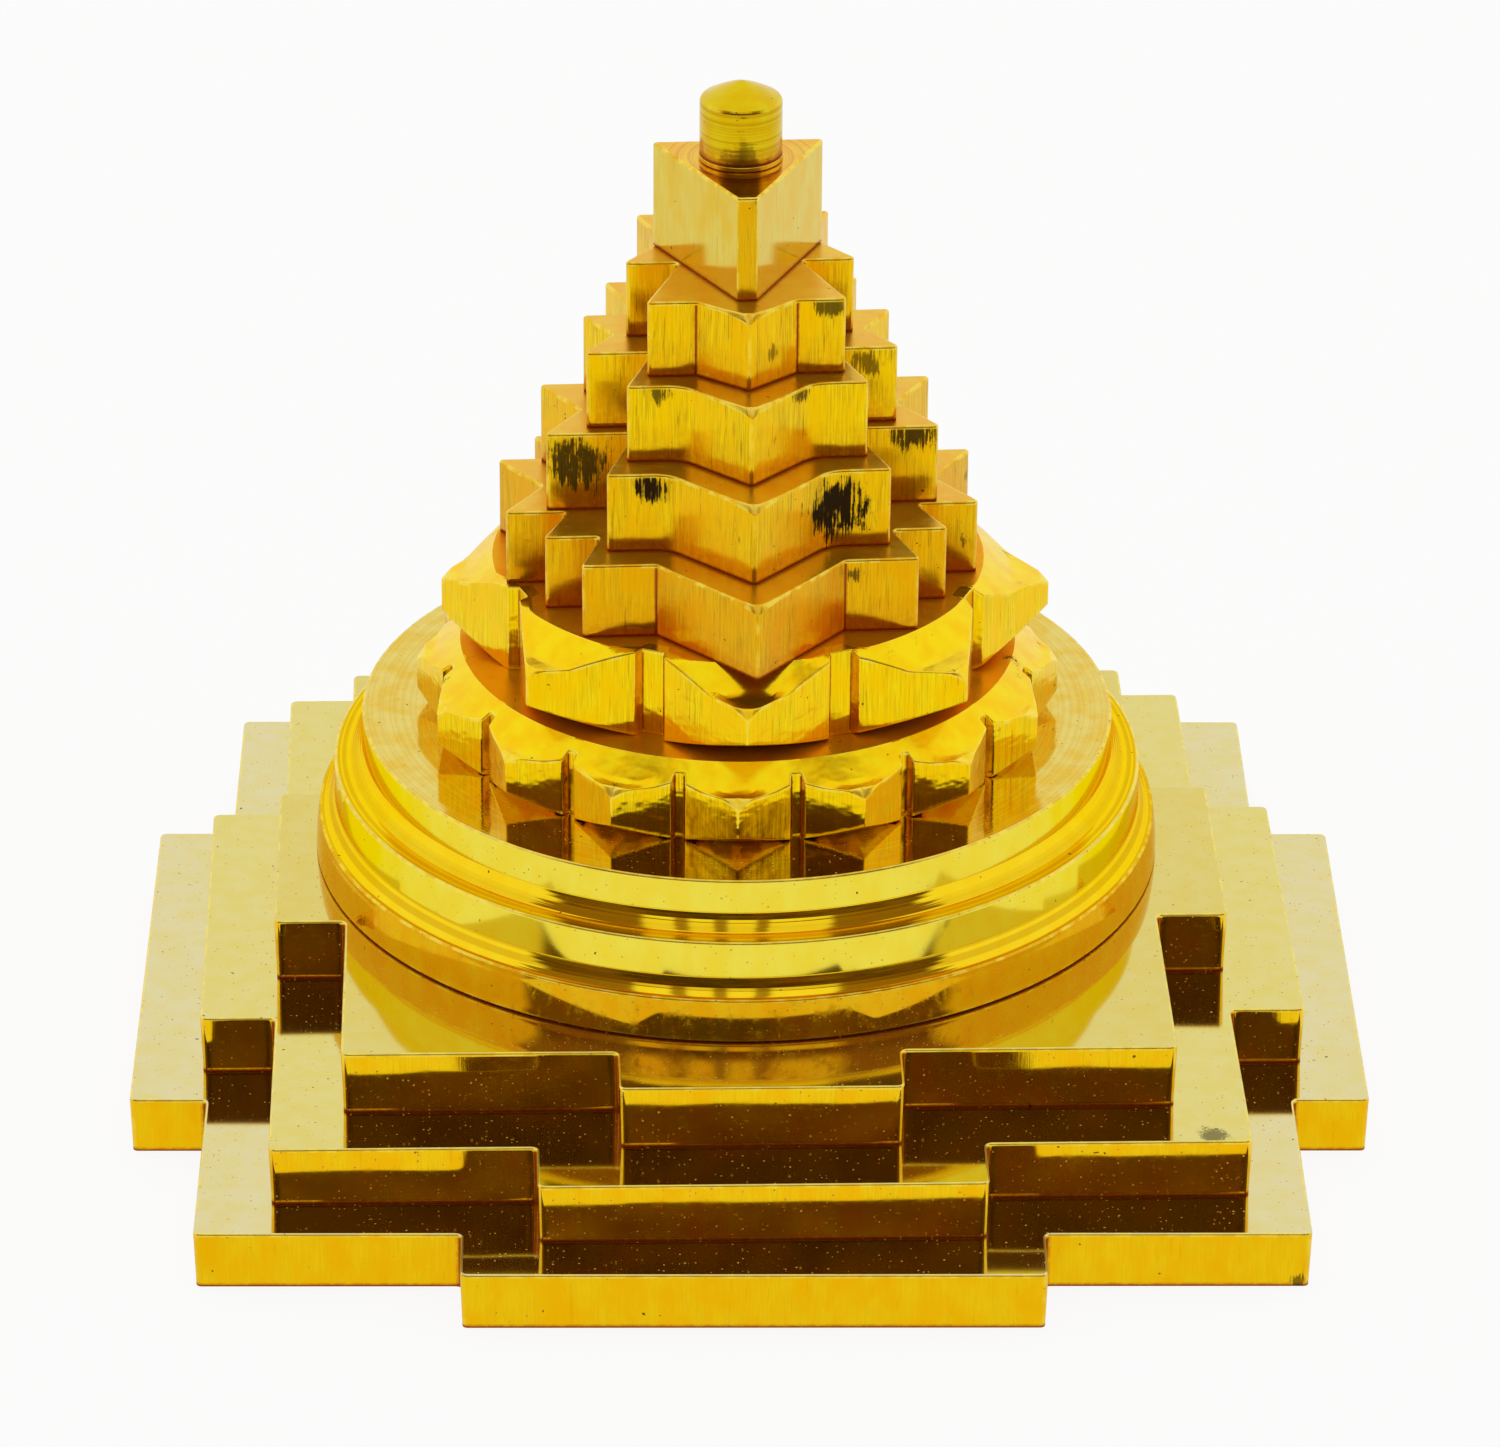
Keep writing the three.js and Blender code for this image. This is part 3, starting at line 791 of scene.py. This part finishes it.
milled_underside = brass("milled_underside", YELLOW_BRASS, 0.28, patches=0.4, scuffs=0.1,
                         clean=True)
plate_walls = {
    "lower_plate": brass("satin_plate_wall", YELLOW_BRASS, 0.34, anisotropy=0.4, brushing=0.25,
                         waves=0.05, spots=PLATE_TARNISHED),
    "middle_plate": brass("polished_plate_wall", YELLOW_BRASS, 0.07, brushing=0.25, dust=1.0,
                          waves=0.12, scuffs=0.05, film=0.03),
}
plate_walls["upper_plate"] = plate_walls["middle_plate"]
for name, size in PLATES.items():
    foot, top = levels_of(name)
    turn = size["turn"]
    shape = subdivided(plate_outline(size["half_side"], size["gate_half"], size["gate_reach"]),
                       PLATE_WALL_STEP)
    bore = Matrix.Rotation(-math.radians(turn), 2) @ Vector((TOWER_X, TOWER_Y))
    shape = [p._replace(place=p.place - bore) for p in shape]
    rings = prism_rings(shape, top - foot, PLATE_BEVEL, PLATE_UNDERCUT)
    if name == "lower_plate":
        rings[:1] = [bore_ring(shape, BORE_RADIUS, COUNTERBORE_DEPTH),
                     bore_ring(shape, COUNTERBORE_RADIUS, COUNTERBORE_DEPTH),
                     bore_ring(shape, COUNTERBORE_RADIUS, 0)]
    rings = [[(x + bore.x, y + bore.y, *rest) for x, y, *rest in ring] for ring in rings]
    made = piece("brass_" + name, rings, Vector((0, 0, foot)), turn)
    finish_piece(made, name, plate_walls[name],
                 brass(name + "_top", PLATE_TOP_HIGHLIT_BRASS[name], 0.07, dust=1.0, waves=0.02,
                       mottle=0.25, film=PLATE_TOP_FILM[name], spots=PLATE_TARNISHED),
                 bands=(milled_underside,))
    dress_faces(made, Vector((0, 0, -1)), 2)

# Stepped disc.

def rim_profile(radius, height, band=0):
    """The rounded edge between a vertical wall and the level above it."""
    profile = [(radius, height - DISC_RIM - RIM_INSET, 0.0, 0.0, band)]
    for angle in (0, math.pi / 6, math.pi / 3, math.pi / 2):
        profile.append((radius - DISC_RIM * (1 - math.cos(angle)),
                        height - DISC_RIM * (1 - math.sin(angle)), 1.0, 0.0, band))
    profile.append((radius - DISC_RIM - RIM_INSET, height, 0.0, 0.0, 0))
    return profile


TURNED_BAND = 1
FOOT_BAND = 2
foot, top = levels_of("stepped_disc")
profile = [(BORE_RADIUS, 0, 0, 1, FOOT_BAND),
           (DISC_RADII[0] - DISC_FOOT_BEVEL, 0, 0, 1, FOOT_BAND),
           (DISC_RADII[0] - DISC_FOOT_BEVEL / 2, DISC_FOOT_BEVEL / 2, 0, 1, FOOT_BAND),
           (DISC_RADII[0], DISC_FOOT_BEVEL, 1, 0, FOOT_BAND),
           (DISC_RADII[0], 2 * DISC_FOOT_BEVEL, 0, 0, FOOT_BAND)]
wall_top = DISC_EDGE_HEIGHTS[0] - DISC_RIM
for k in range(1, FOOT_WALL_STEPS):
    share = k / FOOT_WALL_STEPS
    profile.append((DISC_RADII[0] - FOOT_WALL_CROWN * share ** 2, wall_top * share,
                    0, 0, FOOT_BAND))
profile += rim_profile(DISC_RADII[0] - FOOT_WALL_CROWN, DISC_EDGE_HEIGHTS[0], FOOT_BAND)
for i in (0, 1):
    edge = DISC_RADII[i] - (FOOT_WALL_CROWN if i == 0 else 0)
    inner = DISC_RADII[i + 1]
    low, high = DISC_EDGE_HEIGHTS[i], DISC_EDGE_HEIGHTS[i + 1]
    lip = COVES[i]["lip"]
    from_slope, to_slope = (math.radians(COVES[i][key]) for key in ("foot_slope", "top_slope"))
    lip_end = low + lip * math.tan(math.radians(LIP_SLOPE))
    corner_out = inner + COVE_CORNER * (1 - math.sin(to_slope))
    sweep = (edge - lip - corner_out) / (math.sin(to_slope) - math.sin(from_slope))
    for k in range(COVE_STEPS + 1):
        angle = from_slope + k / COVE_STEPS * (to_slope - from_slope)
        groove = GROOVE_DEPTH if k % GROOVE_EVERY == 2 else 0
        out = edge - lip - sweep * (math.sin(angle) - math.sin(from_slope))
        rise = lip_end + sweep * (math.cos(from_slope) - math.cos(angle))
        profile.append((out - groove * math.sin(angle), rise - groove * math.cos(angle),
                        0, 0, TURNED_BAND))
    cove_top = lip_end + sweep * (math.cos(from_slope) - math.cos(to_slope))
    for k in range(1, COVE_CORNER_STEPS + 1):
        angle = to_slope + k / COVE_CORNER_STEPS * (math.pi / 2 - to_slope)
        profile.append((inner + COVE_CORNER * (1 - math.sin(angle)),
                        cove_top + COVE_CORNER * (math.cos(to_slope) - math.cos(angle)),
                        0, 0, TURNED_BAND if k < COVE_CORNER_STEPS else 0))
    profile += rim_profile(inner, high)
profile.append((BORE_RADIUS, top - foot, 0, 0))
made = piece("brass_stepped_disc", lathe_rings(profile, DISC_SIDES),
             Vector((TOWER_X, TOWER_Y, foot)), 0)
finish_piece(made, "stepped_disc",
             wall=brass("polished_disc_wall", STRAW_BRASS, 0.09, dust=0.7, mottle=0.4,
                        glancing=YELLOW_GLANCE),
             face=brass("polished_disc_top", DISC_TOP_BRASS, 0.08, dust=1.0, rings=0.15),
             bands=(brass("turned_disc_band", TURNED_BAND_LIT_BRASS, 0.07, anisotropy=0.3, rings=0.4,
                          mottle=0.4, film=0.06, glancing=YELLOW_GLANCE),
                    brass("polished_disc_foot", DISC_FOOT_SHADED_BRASS, 0.08, dust=1.0, scuffs=0.25,
                          waves=0.08, film=0.14, glancing=YELLOW_GLANCE)))

# Petalled rings.

LAND_BAND = 1
for name, size in LOTUSES.items():
    foot, top = levels_of(name)
    shape = petal_outline(size)
    shift = Vector((size["shift"], 0))
    tips = [Matrix.Rotation(2 * math.pi * i / size["petals"], 2)
            @ Vector((0, -size["tip_radius"])) + shift
            for i in range(size["petals"])]
    shape = cut_tips(subdivided(shape, PETAL_WALL_STEP), tips)
    under = size["tip_bottom"] / (size["tip_radius"] - size["seat_radius"])
    fold = size["land_radius"]
    brim_at_fold = size["tip_top"] + (size["tip_radius"] - fold) * LOTUS_BRIM_SLOPE
    crease = fold + (size["height"] - brim_at_fold) / (LOTUS_CONE_SLOPE - LOTUS_BRIM_SLOPE)

    def foot_height(place):
        return max(0.0, (place.length - size["seat_radius"]) * under)

    def top_height(place):
        cone = size["height"] - max(0.0, place.length - fold) * LOTUS_CONE_SLOPE
        brim = size["tip_top"] + (size["tip_radius"] - place.length) * LOTUS_BRIM_SLOPE
        return max(cone, min(brim, size["height"]))

    def level_ring(radius, margin, level, wear=0.0, band=0):
        """Points on a circle, or margin inside the outline where that is nearer the axis."""
        ring = []
        for p in shape:
            place = p.place.normalized() * min(radius, p.place.length - margin)
            ring.append((place.x, place.y, level(place), wear, 0.0, band))
        return ring

    rings = [
        bore_ring(shape, BORE_RADIUS, 0),
        level_ring(size["seat_radius"], SEAT_MARGIN, foot_height),
        *foot_rings(shape, foot_height, grime=0.0),
        *wall_rings(shape, foot_height, top_height),
        *rim_rings(shape, LOTUS_BEVEL, top_height),
    ]
    margin = TIP_CUT + TOP_MARGIN
    for radius, wear in ((crease + CREASE_WIDTH, 0.0), (crease, 0.0), (crease - CREASE_WIDTH, 0.0),
                         (fold + FOLD_WIDTH, 0.0), (fold, FOLD_WEAR_AND_HIGHLIGHT)):
        rings.append(level_ring(radius, margin, top_height, wear))
        margin += NEXT_MARGIN
    for radius in (fold - FOLD_WIDTH, BORE_RADIUS):
        rings.append(level_ring(radius, margin, top_height, band=LAND_BAND))
    made = piece("brass_" + name, rings, Vector((TOWER_X, TOWER_Y, foot)), size["turn"])
    finish_piece(made, name,
                 wall=brass(name + "_wall", BRIGHT_BRASS, 0.18, anisotropy=0.7, brushing=0.7,
                            patches=0.5, ripples=0.08, spots=TARNISHED.get(name, ())),
                 face=brass(name + "_top", BRIGHT_BRASS, 0.22, patches=0.6, ripples=0.05,
                            film=0.05, spots=TARNISHED.get(name, ())),
                 bands=(brass(name + "_land", LAND_SHADED_BRASS, 0.34, patches=0.5, dust=0.6,
                              ripples=0.05, scuffs=0.1, film=0.22, glancing=YELLOW_GLANCE),))

# Stars and the triangle.

for name, size in STARS.items():
    foot, top = levels_of(name)
    shape = subdivided(star_outline(**size), WALL_STEP)
    shape = cut_tips(shape, [Vector((0, size["front"]))])
    made = piece("brass_" + name, prism_rings(shape, top - foot, STAR_BEVEL, grimy=STAR_GRIME),
                 Vector((TOWER_X, TOWER_Y, foot)), STAR_TURN)
    finish_piece(made, name,
                 wall=brass(name + "_wall", STAR_WALL_SHADED_BRASS[name], 0.20, anisotropy=0.8,
                            brushing=1.0, patches=0.5, waves=0.10, ripples=0.015,
                            spots=TARNISHED.get(name, ())),
                 face=brass(name + "_top", STAR_TOP_SHADED_BRASS, 0.30, patches=0.2, dust=0.5,
                            scuffs=0.12, film=0.17))

foot, top = levels_of("triangle")
shape = subdivided(triangle_outline(**TRIANGLE), WALL_STEP)
made = piece("brass_triangle", prism_rings(shape, top - foot, STAR_BEVEL),
             Vector((TOWER_X, TOWER_Y, foot)), STAR_TURN)
finish_piece(made, "triangle",
             wall=brass("triangle_wall", TRIANGLE_BRASS, 0.13, brushing=0.3, patches=0.1,
                        waves=0.10, film=0.06),
             face=brass("triangle_top", STAR_TOP_SHADED_BRASS, 0.12, rings=0.4, scuffs=0.1),
             bands=(brass("triangle_point", POINT_SHADED_BRASS, 0.20, brushing=1.0, patches=0.6,
                          ripples=0.03),))
milled_direction = Matrix.Rotation(math.radians(STAR_TURN), 3, "Z") @ Vector((0, -1, 0))
dress_faces(made, milled_direction, 2)

# Bindu.

foot, top = levels_of("bindu")
body = BINDU_RADIUS - BINDU_NECK
profile = [(BORE_RADIUS, BINDU_BORE_DEPTH, 0, 0),
           (BORE_RADIUS, 0, 0, 1),
           (BINDU_RADIUS - BINDU_FOOT_BEVEL, 0, 0, 1),
           (BINDU_RADIUS, BINDU_FOOT_BEVEL, 1, 0),
           (BINDU_RADIUS, BINDU_BEAD, 1, 0)]
profile += [(body, z, 0, grime) for z, grime in BINDU_DIRT]
profile.append((body, BINDU_SHOULDER, 0, 0))
for k in range(1, BINDU_RIM_STEPS + 1):
    angle = k / BINDU_RIM_STEPS * math.radians(BINDU_RIM_SWEEP)
    wear = BINDU_RIM_WEAR_AND_HIGHLIGHT if k < BINDU_RIM_STEPS else 0
    profile.append((body - BINDU_RIM * (1 - math.cos(angle)),
                    BINDU_SHOULDER + BINDU_RIM * math.sin(angle), wear, 0))
rim_radius, rim_height = profile[-1][:2]
dome_height = top - foot - rim_height
for k in range(1, DOME_STEPS + 1):
    t = k / DOME_STEPS
    profile.append((rim_radius * (1 - t) + DOME_END * t,
                    rim_height + dome_height * ((1 + DOME_BULGE) * t - DOME_BULGE * t * t), 0, 0))
made = piece("brass_bindu", lathe_rings(profile, BINDU_SIDES),
             Vector((TOWER_X, TOWER_Y, foot)), 0, closed=True)
finish_piece(made, "bindu",
             wall=brass("bindu_wall", BINDU_BRASS, 0.24, rings=0.5, patches=0.9,
                        spots=TARNISHED["bindu"]),
             face=brass("bindu_dome", BINDU_BRASS, 0.26, patches=0.4, scuffs=0.1))

# Fasteners keep their CAD solids.

for name in ("screw_washer", "long_screw", "star_locating_pin"):
    node_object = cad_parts[name]
    for slot in node_object.material_slots:
        slot.material = steel(name + "_steel")


# Studio: a pale floor, white walls of light, and the darker room in front behind the camera.

FLOOR_SIZE = 6.0
FLOOR_PAPER = (0.9, 0.9, 0.9, 1)
FLOOR_ROUGHNESS = 0.9
FLOOR_GLOW = 0.9
WHITE = (1, 1, 1, 1)

bpy.ops.mesh.primitive_plane_add(size=FLOOR_SIZE, location=(0, 0, 0))
floor = bpy.context.object
floor.name = "studio_floor"
material, n, shader, output = new_material("studio_floor_paper")
shader.inputs["Base Color"].default_value = FLOOR_PAPER
shader.inputs["Roughness"].default_value = FLOOR_ROUGHNESS
shader.inputs["Specular IOR Level"].default_value = 0.0
paths = n("LightPath").outputs
seen = n.math("MAXIMUM", paths["Is Camera Ray"], paths["Is Glossy Ray"])
glow = n("Emission", {"Color": WHITE, "Strength": 1.0})
mixed = n("MixShader", {0: n.math("MULTIPLY", seen, FLOOR_GLOW), 1: shader.outputs[0],
                        2: glow.outputs[0]})
n.tree.links.new(mixed.outputs[0], output.inputs["Surface"])
floor.data.materials.append(material)

# The dark room lies between two heights, in degrees above level, each with a soft edge. It
# reaches to these degrees on either side of straight ahead, and wider higher up.
ROOM_FOOT = (2, 5)
ROOM_TOP = (75, 71)
ROOM_SIDES = (59, 55)
ROOM_WIDENS = (35, 50)
ROOM_WIDENS_BY = 20
ROOM_UPPER_WALL = (33, 40)
ROOM_DARK = (0.035, 0.017, 0.012, 1)
ROOM_LIGHTER = (0.17, 0.09, 0.04, 1)
ROOM_RED = (0.15, 0.04, 0.015, 1)
ROOM_UPPER_COLOUR = (0.28, 0.16, 0.09, 1)

# The window in it starts at a height in degrees. Its width and its three bars are given as
# how far a unit direction goes sideways, a little more of it higher up.
WINDOW_FOOT = (37, 40)
WINDOW_FACING = (0.5, 0.6)
WINDOW_HALF_WIDTH = 0.45
WINDOW_EDGE = 0.02
WINDOW_BARS = (-0.27, -0.085, 0.12)
BAR_HALF_WIDTH = (0.02, 0.045)
BAR_LIGHT = 0.1


def heights(low_and_high):
    """How far up a unit direction goes at each of two angles, in degrees."""
    return [math.sin(math.radians(degrees)) for degrees in low_and_high]


world = bpy.data.worlds.new("studio")
bpy.context.scene.world = world
world.use_nodes = True
world.node_tree.nodes.clear()
n = Nodes(world.node_tree)
unit = n("TexCoord").outputs["Generated"]
direction = n("SeparateXYZ", {0: unit})
up = direction.outputs["Z"]
forward = n.math("MULTIPLY", direction.outputs["Y"], -1.0)
flat_length = n.math("SQRT", n.math("SUBTRACT", 1.0001, n.math("MULTIPLY", up, up)))
facing = n.math("DIVIDE", forward, flat_length)
side_from, side_to = (
    n.ramp(up, *heights(ROOM_WIDENS), math.cos(math.radians(side)),
           math.cos(math.radians(side + ROOM_WIDENS_BY)))
    for side in ROOM_SIDES
)
in_front = n.ramp(facing, side_from, side_to)
between = n.math("MULTIPLY", n.ramp(up, *heights(ROOM_FOOT)), n.ramp(up, *heights(ROOM_TOP)))
dark = n.math("MULTIPLY", in_front, between)

aside = n.math("DIVIDE", direction.outputs["X"], n.math("SQRT", flat_length))
window = n.ramp(n.math("ABSOLUTE", aside), WINDOW_HALF_WIDTH + WINDOW_EDGE,
                WINDOW_HALF_WIDTH - WINDOW_EDGE)
window = n.math("MULTIPLY", window, n.ramp(facing, *WINDOW_FACING))
window = n.math("MULTIPLY", window, n.ramp(up, *heights(WINDOW_FOOT)))
for bar in WINDOW_BARS:
    away = n.math("ABSOLUTE", n.math("SUBTRACT", aside, bar))
    window = n.math("MULTIPLY", window, n.ramp(away, *BAR_HALF_WIDTH, BAR_LIGHT, 1.0))
dark = n.math("MULTIPLY", dark, n.math("SUBTRACT", 1.0, window))

cloud = n.noise(unit, 2.2, 3.0, 0.6)
dim_room = n.mix_colour(n.ramp(cloud, 0.42, 0.64), ROOM_DARK, ROOM_LIGHTER)
red_cloud = n.noise(unit, 6.0, 2.0, 0.6)
dim_room = n.mix_colour(n.ramp(red_cloud, 0.54, 0.66), dim_room, ROOM_RED)
dim_room = n.mix_colour(n.ramp(up, *heights(ROOM_UPPER_WALL)), dim_room, ROOM_UPPER_COLOUR)
room = n.mix_colour(dark, WHITE, dim_room)
camera_ray = n("LightPath").outputs["Is Camera Ray"]
background = n("Background", {"Color": n.mix_colour(camera_ray, room, WHITE), "Strength": 1.0})
n("OutputWorld", {"Surface": background.outputs[0]})

# Camera, at the photograph's place. It looks down by its pitch. The place is in metres, and the
# lens and the sensor are in millimetres.

CAMERA_PLACE = Vector((-0.00663, -0.42803, 0.24119))
CAMERA_YAW = math.radians(0.899)
CAMERA_PITCH = math.radians(27.252)
CAMERA_ROLL = math.radians(0.441)
CAMERA_LENS = 185.6
SENSOR_WIDTH = 36.0

forward_axis = Vector((math.sin(CAMERA_YAW) * math.cos(CAMERA_PITCH),
                       math.cos(CAMERA_YAW) * math.cos(CAMERA_PITCH),
                       -math.sin(CAMERA_PITCH)))
level_axis = Vector((math.cos(CAMERA_YAW), -math.sin(CAMERA_YAW), 0))
raised_axis = level_axis.cross(forward_axis)
camera_x = level_axis * math.cos(CAMERA_ROLL) + raised_axis * math.sin(CAMERA_ROLL)
camera_y = raised_axis * math.cos(CAMERA_ROLL) - level_axis * math.sin(CAMERA_ROLL)
camera_data = bpy.data.cameras.new("camera")
camera_data.lens = CAMERA_LENS
camera_data.sensor_width = SENSOR_WIDTH
camera_data.sensor_fit = "HORIZONTAL"
camera = bpy.data.objects.new("camera", camera_data)
bpy.context.scene.collection.objects.link(camera)
camera.matrix_world = Matrix((
    (camera_x.x, camera_y.x, -forward_axis.x, CAMERA_PLACE.x),
    (camera_x.y, camera_y.y, -forward_axis.y, CAMERA_PLACE.y),
    (camera_x.z, camera_y.z, -forward_axis.z, CAMERA_PLACE.z),
    (0, 0, 0, 1),
))
bpy.context.scene.camera = camera
bpy.context.scene.view_settings.view_transform = "Standard"
